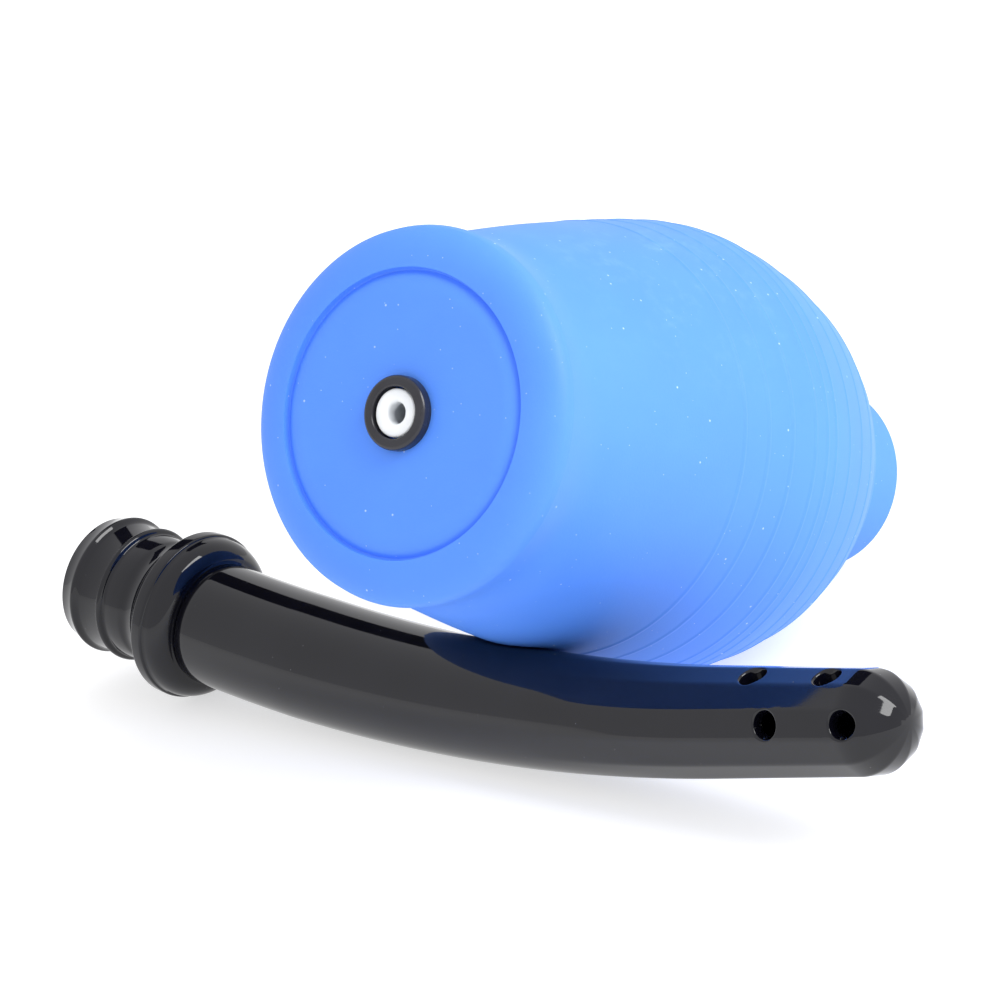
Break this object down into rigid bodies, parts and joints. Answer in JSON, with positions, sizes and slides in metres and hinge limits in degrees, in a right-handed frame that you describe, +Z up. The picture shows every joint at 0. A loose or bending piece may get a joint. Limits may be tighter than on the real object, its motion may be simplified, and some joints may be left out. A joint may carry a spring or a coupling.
{
  "type": "rinse bulb with nozzle",
  "caption": "Soft silicone squeeze bulb lying on its side, with a ball-valve air inlet in its base and a detached curved rinse nozzle laid under the raised base end.",
  "frame": {"origin": "bottom centre of the whole object's box, on the table", "axes": "+Z up, +X level along the bulb from its base to its neck, +Y along the nozzle towards its plug"},
  "size_m": [0.145, 0.2052, 0.1056],
  "materials": {
    "silicone": "satin blue moulded silicone",
    "nozzle": "polished black moulded plastic",
    "ring": "satin black plastic",
    "valve_plastic": "white moulded plastic",
    "washer": "soft dark rubber",
    "balls": "smooth grey-blue plastic"
  },
  "bodies": {
    "bulb": {"bulb_body": "silicone", "valve_retaining_ring": "ring", "inlet_valve_bush": "valve_plastic", "inlet_valve_washer": "washer", "inlet_ball_cage": "valve_plastic"},
    "inlet_ball": {"inlet_check_ball": "balls"},
    "nozzle": {"nozzle_plug": "nozzle", "nozzle_tube": "nozzle", "outlet_valve_seat": "valve_plastic", "outlet_ball_retainer": "valve_plastic"},
    "outlet_ball": {"outlet_check_ball": "balls"}
  },
  "joints": [
    {"name": "nozzle_slide", "type": "slide", "parent": "bulb", "child": "nozzle", "axis": [-1, 0, 0], "range_m": [0, 0.15]},
    {"name": "inlet_ball_travel", "type": "slide", "parent": "bulb", "child": "inlet_ball", "axis": [-0.8996, 0, 0.4368], "range_m": [0, 0.0022]},
    {"name": "outlet_ball_travel", "type": "slide", "parent": "nozzle", "child": "outlet_ball", "axis": [0.1447, 0.9799, 0.1374], "range_m": [0, 0.0022]}
  ]
}
